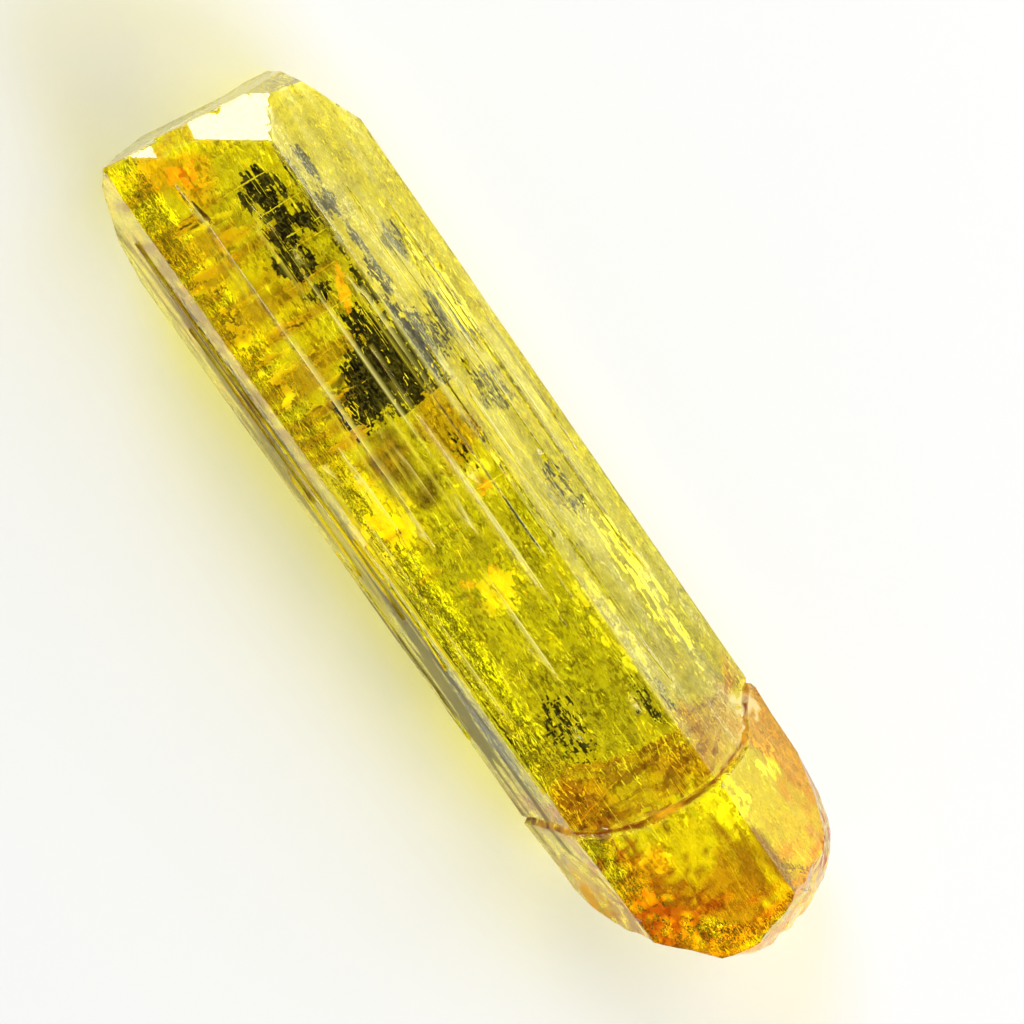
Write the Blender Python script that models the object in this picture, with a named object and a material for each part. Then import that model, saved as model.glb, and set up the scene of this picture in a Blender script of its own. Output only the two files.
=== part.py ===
"""Heliodor: one long yellow beryl crystal that lies on a wide prism face.

The crystal is a six-sided prism, a little flattened, with sides 120 degrees apart. One end keeps its
grown faces: a nearly square end face, a bright pyramid face above it that steps down to one side, and
steep bevels on both flanks. The other end is a stump behind a healed crack. Its break bows outwards,
with a ragged rim and a scooped scar on one flank. Low growth plates and small etch pits lie along the
prism faces. The lower wide face is flat and bears the crystal.
Metres, +Z up, +X along the crystal towards the grown end, origin at the bottom centre of its box.
"""

import math

import bmesh
import bpy
import numpy as np
from mathutils import Matrix, Vector, noise

MM = 0.001

# Driving dimensions of the prism.
WIDE_FACE = 6.40 * MM
SIDE_FACE = 5.08 * MM
HALF_THICKNESS = SIDE_FACE * math.sin(math.radians(60))
THICKNESS = 2 * HALF_THICKNESS
CORNER_Y = WIDE_FACE / 2 + SIDE_FACE * math.cos(math.radians(60))
BLANK_ENDS_X = (24 * MM, -26 * MM)
TAPER = 0.0033

# Columns of points across the faces of the prism.
WIDE_SEGMENTS = 14
SIDE_SEGMENTS = 10
TOP, RIGHT_UPPER, RIGHT_LOWER, UNDER, LEFT_LOWER, LEFT_UPPER = range(6)

# The healed crack round the stump: its place along X by Y at the top, and how it wanders.
CRACK_LINE = (
    (-6.0 * MM, -11.9 * MM),
    (-5.3 * MM, -12.3 * MM),
    (-4.5 * MM, -13.6 * MM),
    (-3.0 * MM, -13.85 * MM),
    (-1.7 * MM, -13.9 * MM),
    (0.6 * MM, -13.7 * MM),
    (2.2 * MM, -13.2 * MM),
    (3.1 * MM, -12.6 * MM),
    (6.0 * MM, -11.9 * MM),
)
CRACK_LEAN_BELOW = 1.3 * MM
CRACK_WANDER = 0.12 * MM
CRACK_WANDER_SIZE = 0.9 * MM
GROOVE_HALF_WIDTH = 0.15 * MM
GROOVE_DEPTH = 0.13 * MM

# The stump stands out beyond the crack on its flanks and thins towards the break.
SWELL_UPWARD = 0.4
STUMP_STATIONS = ((0.0, 0.12 * MM), (1.6 * MM, 0.03 * MM), (4.0 * MM, 0.0))

# The broken end: how far it reaches along X by Y, and how far it is set back by height.
BREAK_REACH = (
    (-6.0 * MM, -14.0 * MM),
    (-5.5 * MM, -16.4 * MM),
    (-5.1 * MM, -18.5 * MM),
    (-4.5 * MM, -19.8 * MM),
    (-3.6 * MM, -20.8 * MM),
    (-2.2 * MM, -21.6 * MM),
    (-0.6 * MM, -22.1 * MM),
    (0.9 * MM, -21.9 * MM),
    (2.0 * MM, -20.9 * MM),
    (3.2 * MM, -19.5 * MM),
    (4.4 * MM, -18.5 * MM),
    (5.2 * MM, -17.2 * MM),
    (6.0 * MM, -14.2 * MM),
)
BREAK_SETBACK = (
    (0.0 * MM, 0.9 * MM),
    (1.6 * MM, 0.15 * MM),
    (3.2 * MM, 0.0 * MM),
    (5.5 * MM, 0.35 * MM),
    (7.4 * MM, 0.95 * MM),
    (8.8 * MM, 1.55 * MM),
)
BREAK_LUMPS = 0.30 * MM
BREAK_LUMP_SIZE = 2.4 * MM
BREAK_TEETH = 0.13 * MM
BREAK_TOOTH_SIZE = 0.8 * MM
BREAK_RIPPLE = 0.09 * MM
RIPPLE_SPACING = 1.5 * MM
RIPPLE_CENTRE = (-5.6 * MM, 6.4 * MM)
BREAK_CELL = 0.42 * MM
BREAK_MARGIN = 1.2 * MM

# Faces of the grown end. Each cut takes away what lies beyond all of its planes: (outward, point).
PYRAMID = (0.49, -0.34, 0.80)
END_CUTS = (
    ("end face", (((1.0, -0.14, -0.03), (19.85, 0.0, 0.0)),)),
    ("pyramid face", ((PYRAMID, (19.29, -0.64, 8.8)),)),
    ("pyramid step", ((PYRAMID, (20.52, 2.49, 8.8)), ((0.527, -0.071, 0.847), (19.50, 0.92, 8.8)))),
    ("end terrace", (((1.0, -0.14, -0.03), (19.72, 0.0, 0.0)), ((0.0, 0.96, -0.28), (20.0, -1.6, 0.0)))),
    ("right tip bevel", (((0.83, -0.54, 0.10), (19.72, -2.95, 7.59)),)),
    ("right flank bevel", (((0.407, -0.875, -0.262), (16.26, -5.60, 4.4)),)),
    ("left tip bevel", (((0.746, 0.667, 0.04), (20.35, 3.20, 8.2)),)),
    ("left flank bevel", (((0.50, 0.80, -0.04), (19.31, 4.21, 7.0)),)),
    ("left flank taper", (((0.235, 0.97, -0.03), (17.10, 5.36, 5.0)),)),
)

# Low growth plates along the prism faces: how many lanes of them on each face, and their sizes.
# A plate's width is a share of its lane.
PLATES_ON_FACE = (7, 6, 6, 0, 6, 6)
PLATE_HEIGHT = (0.03 * MM, 0.075 * MM)
PLATE_WIDTH = (0.25, 0.75)
PLATE_LENGTH = (5 * MM, 20 * MM)
PLATE_REACH_X = (-10.8 * MM, 19.0 * MM)
PLATE_TIP = (0.4 * MM, 2.6 * MM)
PLATE_TIP_SKEW = 0.8
PLATE_TOP_SHARE = 0.8
PLATE_ROOT = 0.2 * MM
LANE_FILL = 0.9
PLATE_SEED = 23

# Small lozenge-shaped etch pits: how many on each face, and the ranges of their sizes.
PITS_ON_FACE = (4, 3, 3, 0, 3, 2)
PIT_HALF_LENGTH = (0.28 * MM, 0.55 * MM)
PIT_HALF_WIDTH = (0.14 * MM, 0.26 * MM)
PIT_DEPTH = 0.13 * MM
PIT_ACROSS = (0.15, 0.85)
PIT_SEED = 5

# Scars and chips: the body that leaves each one has a centre and radii in millimetres, a turn about Z
# in degrees and a fineness.
CHIPS = (
    ("stump flank scar", (-19.9, 8.05, 9.7), (11.5, 5.0, 6.0), -4.0, 4),
    ("stump under scar", (-20.4, -5.4, 0.2), (3.0, 2.2, 2.2), 28.0, 3),
    ("left edge nick", (-9.8, 6.0, 4.7), (0.95, 0.42, 0.9), 4.0, 2),
    ("left edge chip", (-11.2, 6.05, 3.9), (0.6, 0.42, 0.7), -8.0, 2),
    ("tip edge nick", (19.5, -4.3, 0.2), (1.2, 1.3, 1.0), 20.0, 3),
    ("lower edge nick", (6.5, -3.9, -0.2), (1.5, 0.8, 0.6), 0.0, 2),
    ("crack notch", (-12.1, -6.0, 4.6), (0.45, 0.5, 0.8), 0.0, 2),
)
CHIP_RIPPLE = 0.012
CHIP_WAVES = (9, 4)


def read_curve(points, at):
    """The smooth curve through (place, value) points, read at one place."""
    places = [p for p, _ in points]
    values = [v for _, v in points]
    if at <= places[0]:
        return values[0]
    if at >= places[-1]:
        return values[-1]
    i = max(k for k in range(len(places) - 1) if places[k] <= at)
    slopes = np.gradient(values, places)
    width = places[i + 1] - places[i]
    t = (at - places[i]) / width
    return (
        values[i] * (2 * t**3 - 3 * t**2 + 1)
        + slopes[i] * width * (t**3 - 2 * t**2 + t)
        + values[i + 1] * (3 * t**2 - 2 * t**3)
        + slopes[i + 1] * width * (t**3 - t**2)
    )


def section_corner(index, x):
    """One corner (y, z) of the prism's section at x. The flanks close in along the crystal."""
    half = WIDE_FACE / 2
    corners = (
        (half, THICKNESS),
        (-half, THICKNESS),
        (-CORNER_Y, HALF_THICKNESS),
        (-half, 0.0),
        (half, 0.0),
        (CORNER_Y, HALF_THICKNESS),
    )
    y, z = corners[index % 6]
    return Vector((y - math.copysign(TAPER * (BLANK_ENDS_X[0] - x), y), z))


def outward_of(face):
    """The direction (y, z) that a prism face looks in."""
    angle = math.radians(90 + 60 * face)
    return Vector((math.cos(angle), math.sin(angle)))


def on_face(face, across, x, raised=0.0):
    """The point a share of the way across a prism face at x, raised above it."""
    flat = section_corner(face, x).lerp(section_corner(face + 1, x), across)
    place = flat + outward_of(face) * raised
    return Vector((x, place.x, place.y))


def crack_x(y, z):
    """Where the healed crack lies along the crystal at a point of the section."""
    below = max(0.0, 1 - z / HALF_THICKNESS)
    wander = CRACK_WANDER * noise.noise(Vector((y, z, 0.0)) / CRACK_WANDER_SIZE)
    return read_curve(CRACK_LINE, y) + CRACK_LEAN_BELOW * below + wander


def break_x(y, z):
    """How far the broken end reaches at a point of the section: bowed, lumpy, toothed, rippled."""
    spot = Vector((y, z, 0.0))
    lumps = BREAK_LUMPS * noise.noise(spot / BREAK_LUMP_SIZE)
    teeth = BREAK_TEETH * noise.noise(spot / BREAK_TOOTH_SIZE)
    from_hit = math.dist((y, z), RIPPLE_CENTRE)
    ripple = BREAK_RIPPLE * math.sin(2 * math.pi * from_hit / RIPPLE_SPACING)
    return read_curve(BREAK_REACH, y) + read_curve(BREAK_SETBACK, z) + lumps + teeth + ripple


def add_tube(mesh, lines):
    """Joins columns of points into a closed tube with flat ends."""
    walls = [[mesh.verts.new(point) for point in line] for line in lines]
    for j, line in enumerate(walls):
        following = walls[(j + 1) % len(walls)]
        for k in range(len(line) - 1):
            mesh.faces.new((line[k], line[k + 1], following[k + 1], following[k]))
    mesh.faces.new([line[0] for line in walls])
    mesh.faces.new([line[-1] for line in walls])
    bmesh.ops.recalc_face_normals(mesh, faces=mesh.faces)


def column(face, across):
    """One column of points along the prism: plain body, crack groove, then the stump."""
    crack = crack_x(*on_face(face, across, 0.0).yz)
    line = [on_face(face, across, x) for x in (BLANK_ENDS_X[0], crack + GROOVE_HALF_WIDTH)]
    line.append(on_face(face, across, crack, -GROOVE_DEPTH))
    middle = Vector((0.0, 0.0, HALF_THICKNESS))
    flank = 0.0 if face == UNDER or (face, across) == (LEFT_LOWER, 0) else 1.0
    for back, swell in STUMP_STATIONS:
        place = on_face(face, across, crack - GROOVE_HALF_WIDTH - back)
        outward = place - middle
        outward.x = 0.0
        outward.z = max(0.0, outward.z) * SWELL_UPWARD
        line.append(place + outward.normalized() * swell * flank)
    line.append(on_face(face, across, BLANK_ENDS_X[1]))
    return line


def prism_mesh():
    """The prism with its crack and stump, longer than the crystal at both ends."""
    mesh = bmesh.new()
    lines = []
    for face in range(6):
        segments = WIDE_SEGMENTS if face in (TOP, UNDER) else SIDE_SEGMENTS
        lines += [column(face, i / segments) for i in range(segments)]
    add_tube(mesh, lines)
    return mesh


def crystal_material():
    """Clear golden yellow beryl."""
    material = bpy.data.materials.new("heliodor")
    material.use_nodes = True
    shader = material.node_tree.nodes["Principled BSDF"]
    shader.inputs["Base Color"].default_value = (0.93, 0.72, 0.05, 1)
    shader.inputs["Roughness"].default_value = 0.08
    shader.inputs["IOR"].default_value = 1.57
    shader.inputs["Transmission Weight"].default_value = 0.9
    return material


def new_object(name, mesh, material=None):
    """Turns a bmesh into a named object in the scene."""
    data = bpy.data.meshes.new(name)
    mesh.to_mesh(data)
    mesh.free()
    if material:
        data.materials.append(material)
    made = bpy.data.objects.new(name, data)
    bpy.context.scene.collection.objects.link(made)
    return made


def combine(body, name, mesh, operation="DIFFERENCE"):
    """Cuts a helper mesh out of the crystal, or joins it on."""
    tool = new_object(name.replace(" ", "_"), mesh)
    tool.hide_render = True
    tool.display_type = "WIRE"
    modifier = body.modifiers.new(tool.name, "BOOLEAN")
    modifier.operation = operation
    modifier.object = tool


def beyond_planes(planes):
    """A block that fills everything outside all of the planes at once."""
    mesh = bmesh.new()
    bmesh.ops.create_cube(mesh, size=90 * MM)
    for outward, point in planes:
        every = mesh.verts[:] + mesh.edges[:] + mesh.faces[:]
        cut = bmesh.ops.bisect_plane(
            mesh, geom=every, plane_co=Vector(point) * MM, plane_no=outward, clear_inner=True
        )
        rim = [e for e in cut["geom_cut"] if isinstance(e, bmesh.types.BMEdge)]
        bmesh.ops.contextual_create(mesh, geom=rim)
    bmesh.ops.recalc_face_normals(mesh, faces=mesh.faces)
    return mesh


def break_block():
    """The block beyond the broken end: its near side is the uneven break."""
    mesh = bmesh.new()
    across = np.arange(-CORNER_Y - BREAK_MARGIN, CORNER_Y + BREAK_MARGIN, BREAK_CELL)
    upward = np.arange(-BREAK_MARGIN, THICKNESS + BREAK_MARGIN, BREAK_CELL)
    far_x = BLANK_ENDS_X[1] - BREAK_MARGIN
    near = [[mesh.verts.new((break_x(y, z), y, z)) for z in upward] for y in across]
    far = [[mesh.verts.new((far_x, y, z)) for z in upward] for y in across]
    for i in range(len(across) - 1):
        for k in range(len(upward) - 1):
            for side in (near, far):
                mesh.faces.new((side[i][k], side[i][k + 1], side[i + 1][k + 1], side[i + 1][k]))
    last = len(upward) - 1
    loop = [(i, 0) for i in range(len(across))]
    loop += [(len(across) - 1, k) for k in range(1, last)]
    loop += [(i, last) for i in range(len(across) - 1, -1, -1)]
    loop += [(0, k) for k in range(last - 1, 0, -1)]
    for (i, k), (j, m) in zip(loop, loop[1:] + loop[:1]):
        mesh.faces.new((near[i][k], near[j][m], far[j][m], far[i][k]))
    bmesh.ops.recalc_face_normals(mesh, faces=mesh.faces)
    return mesh


def plate_mesh(draw, face, across, width, start, length):
    """One low plate with slanting sides and lopsided pointed ends, rooted in the face."""
    mesh = bmesh.new()
    end, height = start + length, draw.uniform(*PLATE_HEIGHT)
    tips = [draw.uniform(*PLATE_TIP) for _ in range(4)]
    outline = (
        (start, draw.uniform(-PLATE_TIP_SKEW, PLATE_TIP_SKEW)),
        (start + tips[0], -1),
        (end - tips[1], -1),
        (end, draw.uniform(-PLATE_TIP_SKEW, PLATE_TIP_SKEW)),
        (end - tips[2], 1),
        (start + tips[3], 1),
    )
    lines = []
    for x, side in outline:
        reach = side * width / 2
        foot = on_face(face, across + reach, x, -PLATE_ROOT)
        lines.append([foot, on_face(face, across + PLATE_TOP_SHARE * reach, x, height)])
    add_tube(mesh, lines)
    return mesh


def add_plates(body):
    """Joins the growth plates to the prism faces, each in its own lane so that none touch."""
    draw = np.random.default_rng(PLATE_SEED)
    for face, count in enumerate(PLATES_ON_FACE):
        for lane in range(count):
            width = draw.uniform(*PLATE_WIDTH) / count
            length = draw.uniform(*PLATE_LENGTH)
            start = draw.uniform(PLATE_REACH_X[0], PLATE_REACH_X[1] - length)
            slack = LANE_FILL / count - width
            across = (lane + 0.5) / count + draw.uniform(-0.5, 0.5) * slack
            mesh = plate_mesh(draw, face, across, width, start, length)
            combine(body, f"plate_{face}_{lane}", mesh, "UNION")


def add_pits(body):
    """Cuts the etch pits into the prism faces: small lozenges that narrow to a point.

    Each cutter is as high above the face as it is deep, so it is twice its pit's size at the top.
    """
    draw = np.random.default_rng(PIT_SEED)
    for face, count in enumerate(PITS_ON_FACE):
        face_width = WIDE_FACE if face == TOP else SIDE_FACE
        for number in range(count):
            x = draw.uniform(*PLATE_REACH_X)
            across = draw.uniform(*PIT_ACROSS)
            long, wide = draw.uniform(*PIT_HALF_LENGTH), draw.uniform(*PIT_HALF_WIDTH)
            mesh = bmesh.new()
            rim = [(long, 0), (0, wide), (-long, 0), (0, -wide)]
            above = [
                mesh.verts.new(on_face(face, across + 2 * b / face_width, x + 2 * a, PIT_DEPTH))
                for a, b in rim
            ]
            tip = mesh.verts.new(on_face(face, across, x, -PIT_DEPTH))
            mesh.faces.new(above)
            for k in range(4):
                mesh.faces.new((above[k], above[(k + 1) % 4], tip))
            bmesh.ops.recalc_face_normals(mesh, faces=mesh.faces)
            combine(body, f"pit_{face}_{number}", mesh)


def chip_mesh(centre, radii, turn, fineness):
    """A rounded, faintly rippled body that leaves one shell-shaped scar."""
    mesh = bmesh.new()
    bmesh.ops.create_icosphere(mesh, subdivisions=fineness, radius=1.0)
    for vert in mesh.verts:
        wave = math.sin(CHIP_WAVES[0] * vert.co.x + CHIP_WAVES[1] * vert.co.z)
        vert.co *= 1 + CHIP_RIPPLE * wave
    size = Matrix.Diagonal((*[r * MM for r in radii], 1))
    place = Matrix.Translation(Vector(centre) * MM)
    mesh.transform(place @ Matrix.Rotation(math.radians(turn), 4, "Z") @ size)
    return mesh


def settle(body):
    """Moves the crystal so that the origin is at the bottom centre of its box."""
    seen = body.evaluated_get(bpy.context.evaluated_depsgraph_get())
    places = np.array([v.co for v in seen.to_mesh().vertices])
    seen.to_mesh_clear()
    low, high = places.min(axis=0), places.max(axis=0)
    shift = Vector((-(low[0] + high[0]) / 2, -(low[1] + high[1]) / 2, -low[2]))
    for item in [body, *[m.object for m in body.modifiers]]:
        item.location = shift


def main():
    """Builds the crystal."""
    for old in list(bpy.data.objects):
        bpy.data.objects.remove(old)
    body = new_object("heliodor_crystal", prism_mesh(), crystal_material())
    add_plates(body)
    add_pits(body)
    combine(body, "break_cutter", break_block())
    for name, planes in END_CUTS:
        combine(body, name, beyond_planes(planes))
    for name, *shape in CHIPS:
        combine(body, name, chip_mesh(*shape))
    settle(body)


main()
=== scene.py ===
"""Dresses the heliodor: one clear yellow beryl crystal with its etched skin, stains and inclusions.

The crystal lies along X on the floor, grown end at +X, and its broken stump at -X. Metres, +Z up.
"""

import logging
import math
import random
from dataclasses import dataclass
from enum import Enum
from typing import Any, Mapping, Sequence, Union

import bmesh
import bpy
import numpy as np
from mathutils import Matrix, Vector, noise
from mathutils.bvhtree import BVHTree

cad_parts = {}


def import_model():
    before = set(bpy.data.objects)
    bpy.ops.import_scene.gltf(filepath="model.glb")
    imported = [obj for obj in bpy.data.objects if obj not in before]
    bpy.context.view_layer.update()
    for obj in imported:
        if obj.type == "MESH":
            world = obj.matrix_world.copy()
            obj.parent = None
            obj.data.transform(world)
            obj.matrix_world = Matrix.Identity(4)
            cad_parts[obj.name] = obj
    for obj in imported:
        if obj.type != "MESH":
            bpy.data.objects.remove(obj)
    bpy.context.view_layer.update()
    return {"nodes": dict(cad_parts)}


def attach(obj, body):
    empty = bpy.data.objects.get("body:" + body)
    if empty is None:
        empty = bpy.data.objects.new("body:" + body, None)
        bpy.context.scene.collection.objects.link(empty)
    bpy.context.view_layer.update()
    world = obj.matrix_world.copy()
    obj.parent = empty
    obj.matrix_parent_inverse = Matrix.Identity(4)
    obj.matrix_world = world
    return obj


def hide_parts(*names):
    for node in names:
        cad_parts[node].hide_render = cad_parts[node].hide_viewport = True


MM = 0.001
NODE = "heliodor_crystal"
BODY = "root"
CHANNELS = ("_r", "_g", "_b")
WELD = 0.0005 * MM

Number = Union[float, "Value"]
Colour = tuple[float, float, float]
Point = tuple[float, float, float]

log = logging.getLogger("heliodor")


# Shader maths and node trees


class Value:
    """A number that a socket carries, so that shader maths reads as Python."""

    def __init__(self, graph: "Graph", socket: bpy.types.NodeSocket) -> None:
        """Holds the graph that the socket is in, and the socket."""
        self.graph = graph
        self.socket = socket

    def _math(self, operation: str, *operands: Number) -> "Value":
        """Adds one Math node for the operation, and returns its result."""
        node = self.graph.add(
            "ShaderNodeMath", {"operation": operation}, dict(enumerate(operands))
        )
        return Value(self.graph, node.outputs[0])

    def __add__(self, other: Number) -> "Value":
        """self + other."""
        return self._math("ADD", self, other)

    __radd__ = __add__

    def __sub__(self, other: Number) -> "Value":
        """self - other."""
        return self._math("SUBTRACT", self, other)

    def __rsub__(self, other: Number) -> "Value":
        """other - self."""
        return self._math("SUBTRACT", other, self)

    def __mul__(self, other: Number) -> "Value":
        """self * other."""
        return self._math("MULTIPLY", self, other)

    __rmul__ = __mul__

    def __pow__(self, other: Number) -> "Value":
        """self ** other."""
        return self._math("POWER", self, other)

    def __abs__(self) -> "Value":
        """The value without its sign."""
        return self._math("ABSOLUTE", self)

    def most(self, other: Number) -> "Value":
        """The greater of the two."""
        return self._math("MAXIMUM", self, other)

    def ramp(self, start: float, end: float) -> "Value":
        """A smooth step.

        Args:
            start: The value that gives 0.
            end: The value that gives 1. It may be under start.

        Returns:
            0 before start, 1 after end, and a smooth rise between them.
        """
        low, high, at_low, at_high = (
            (start, end, 0.0, 1.0) if start < end else (end, start, 1.0, 0.0)
        )
        node = self.graph.add(
            "ShaderNodeMapRange",
            {"interpolation_type": "SMOOTHSTEP"},
            {
                "Value": self,
                "From Min": low,
                "From Max": high,
                "To Min": at_low,
                "To Max": at_high,
            },
        )
        return Value(self.graph, node.outputs[0])


class Graph:
    """A node tree, with one way to add a node."""

    def __init__(self, tree: bpy.types.NodeTree) -> None:
        """Starts on an empty tree."""
        self.tree = tree
        self.tree.nodes.clear()

    def add(
        self,
        kind: str,
        settings: Mapping[str, Any] | None = None,
        sockets: Mapping[str | int, Any] | None = None,
    ) -> bpy.types.Node:
        """Adds a node.

        Args:
            kind: The node's type.
            settings: Its properties, set first, because some change its sockets.
            sockets: Values or links for its inputs, by name, identifier or index.

        Returns:
            The new node.
        """
        node = self.tree.nodes.new(kind)
        for name, value in (settings or {}).items():
            setattr(node, name, value)
        for key, value in (sockets or {}).items():
            self.feed(self.input_of(node, key), value)
        return node

    def feed(self, socket: bpy.types.NodeSocket, value: Any) -> None:
        """Links the socket to a Value or an output, or sets its number or colour."""
        if isinstance(value, Value):
            self.tree.links.new(value.socket, socket)
        elif isinstance(value, bpy.types.NodeSocket):
            self.tree.links.new(value, socket)
        elif socket.type == "RGBA":
            socket.default_value = (*value[:3], 1.0)
        else:
            socket.default_value = value

    @staticmethod
    def input_of(node: bpy.types.Node, key: str | int) -> bpy.types.NodeSocket:
        """The node's input by identifier, name or index."""
        if isinstance(key, int):
            return node.inputs[key]
        return next((s for s in node.inputs if s.identifier == key), None) or node.inputs[key]

    def value(self, socket: bpy.types.NodeSocket) -> Value:
        """Wraps an output for maths."""
        return Value(self, socket)

    def own_place(self) -> bpy.types.NodeSocket:
        """The point's place in metres: Position in geometry, Object coordinates in a shader."""
        if self.tree.type == "GEOMETRY":
            return self.add("GeometryNodeInputPosition").outputs[0]
        return self.add("ShaderNodeTexCoord").outputs["Object"]

    def millimetres(
        self, stretch: Point = (1.0, 1.0, 1.0), shift: Point = (0.0, 0.0, 0.0)
    ) -> bpy.types.NodeSocket:
        """The point's place in millimetres, for a pattern.

        Args:
            stretch: How much longer the pattern gets along each axis.
            shift: Moves the pattern, in millimetres.

        Returns:
            The vector's socket.
        """
        place = self.own_place()
        return self.add(
            "ShaderNodeVectorMath",
            {"operation": "MULTIPLY_ADD"},
            {0: place, 1: tuple(1.0 / (MM * s) for s in stretch), 2: shift},
        ).outputs[0]

    def place(self) -> tuple[Value, Value, Value]:
        """The point's x, y and z in millimetres."""
        parts = self.add("ShaderNodeSeparateXYZ", None, {0: self.millimetres()})
        return tuple(self.value(s) for s in parts.outputs)

    def noise(
        self,
        size: float,
        stretch: Point = (1.0, 1.0, 1.0),
        shift: float = 0.0,
        detail: float = 2.0,
        roughness: float = 0.5,
    ) -> Value:
        """Cloudy noise.

        Args:
            size: The width of one lump, in millimetres.
            stretch: How much longer the lumps are along each axis.
            shift: Tells one noise from another.
            detail: Octaves of finer noise.
            roughness: How strong the finer noise is.

        Returns:
            The noise, from 0 to 1 and mostly near 0.5.
        """
        node = self.add(
            "ShaderNodeTexNoise",
            {"noise_dimensions": "3D"},
            {
                "Vector": self.millimetres(stretch, (shift, 2.3 * shift, -1.7 * shift)),
                "Scale": 1.0 / size,
                "Detail": detail,
                "Roughness": roughness,
            },
        )
        return self.value(node.outputs[0])

    def scaled(self, vector: bpy.types.NodeSocket, factor: Number) -> bpy.types.NodeSocket:
        """A vector times a number."""
        sockets = {0: vector, "Scale": factor}
        return self.add("ShaderNodeVectorMath", {"operation": "SCALE"}, sockets).outputs[0]

    @staticmethod
    def output_of(node: bpy.types.Node, identifier: str) -> bpy.types.NodeSocket:
        """The node's output with that identifier."""
        return next(s for s in node.outputs if s.identifier == identifier)

    def attribute(self, name: str) -> Value:
        """A number that the mesh keeps at its points."""
        node = self.add("ShaderNodeAttribute", {"attribute_name": name})
        return self.value(node.outputs["Fac"])

    def painted(self, name: str) -> bpy.types.NodeSocket:
        """A colour that the mesh keeps at its points, as three numbers."""
        parts = {k: self.attribute(name + part) for k, part in enumerate(CHANNELS)}
        return self.add("ShaderNodeCombineColor", None, parts).outputs[0]

    def mix(
        self, factor: Number, first: Any, second: Any, blend: str = "MIX"
    ) -> bpy.types.NodeSocket:
        """Mixes two colours.

        Args:
            factor: The second colour's share.
            first: A plain colour or a socket.
            second: A plain colour or a socket.
            blend: How they mix.

        Returns:
            The colour's socket.
        """
        node = self.add(
            "ShaderNodeMix",
            {"data_type": "RGBA", "blend_type": blend, "clamp_factor": True},
            {"Factor_Float": factor, "A_Color": first, "B_Color": second},
        )
        return self.output_of(node, "Result_Color")

    def bump(self, height: Number, depth: float) -> bpy.types.NodeSocket:
        """A normal for heights from 0 to 1 that stand for a depth in millimetres."""
        sockets = {"Strength": 1.0, "Distance": depth * MM, "Height": height}
        return self.add("ShaderNodeBump", None, sockets).outputs[0]

    def principled(self, sockets: Mapping[str, Any]) -> bpy.types.NodeSocket:
        """A Principled shader, with its inputs by name."""
        return self.add("ShaderNodeBsdfPrincipled", None, sockets).outputs[0]

    def shader_mix(self, factor: Number, first: Any, second: Any) -> bpy.types.NodeSocket:
        """Mixes two shaders."""
        return self.add("ShaderNodeMixShader", None, {0: factor, 1: first, 2: second}).outputs[0]

    def finish(self, surface: Any, volume: Any = None) -> None:
        """Ends the tree in its output."""
        sockets = {"Surface": surface}
        if volume is not None:
            sockets["Volume"] = volume
        self.add("ShaderNodeOutputMaterial", None, sockets)


class Recipe(Graph):
    """A geometry tree with named inputs that is run once, on one mesh."""

    def __init__(self, name: str) -> None:
        """Makes the tree, with a mesh going in and one coming out."""
        super().__init__(bpy.data.node_groups.new(name, "GeometryNodeTree"))
        self.entry = self.add("NodeGroupInput")
        self.names: dict[str, str] = {}
        self.mesh = self.input("Mesh", "NodeSocketGeometry")
        self.tree.interface.new_socket("Mesh", in_out="OUTPUT", socket_type="NodeSocketGeometry")

    def input(self, name: str, kind: str) -> bpy.types.NodeSocket:
        """Adds a named input to the tree.

        Args:
            name: What the input is called.
            kind: Its socket type.

        Returns:
            The socket that carries it inside the tree.
        """
        item = self.tree.interface.new_socket(name, in_out="INPUT", socket_type=kind)
        self.names[name] = item.identifier
        return self.output_of(self.entry, item.identifier)

    def number(self, name: str) -> Value:
        """Adds a named number to the tree's inputs."""
        return self.value(self.input(name, "NodeSocketFloat"))

    def end(self, geometry: bpy.types.NodeSocket) -> None:
        """Ends the tree: real geometry, in the finish that its Finish input names."""
        finish = self.input("Finish", "NodeSocketMaterial")
        real = self.add("GeometryNodeRealizeInstances", None, {0: geometry}).outputs[0]
        dressed = self.add("GeometryNodeSetMaterial", None, {"Geometry": real, "Material": finish})
        self.add("NodeGroupOutput", None, {0: dressed.outputs[0]})

    def run(
        self, name: str, mesh: bpy.types.Mesh, finish: bpy.types.Material, **values: Any
    ) -> bpy.types.Mesh:
        """Runs the tree.

        Args:
            name: The new mesh's name.
            mesh: What goes in.
            finish: The material of what comes out.
            values: The other inputs, by name, with _ for a space.

        Returns:
            A plain mesh.
        """
        carrier = bpy.data.objects.new(name + "_carrier", mesh)
        bpy.context.scene.collection.objects.link(carrier)
        step = carrier.modifiers.new(name, "NODES")
        step.node_group = self.tree
        step[self.names["Finish"]] = finish
        for key, value in values.items():
            step[self.names[key.replace("_", " ").capitalize()]] = value
        graph = bpy.context.evaluated_depsgraph_get()
        made = bpy.data.meshes.new_from_object(carrier.evaluated_get(graph), depsgraph=graph)
        made.name = name
        bpy.data.objects.remove(carrier)
        return made


# Finishes


def new_material(name: str) -> tuple[bpy.types.Material, Graph]:
    """A new material, and its empty tree."""
    material = bpy.data.materials.new(name)
    material.use_nodes = True
    return material, Graph(material.node_tree)


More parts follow.
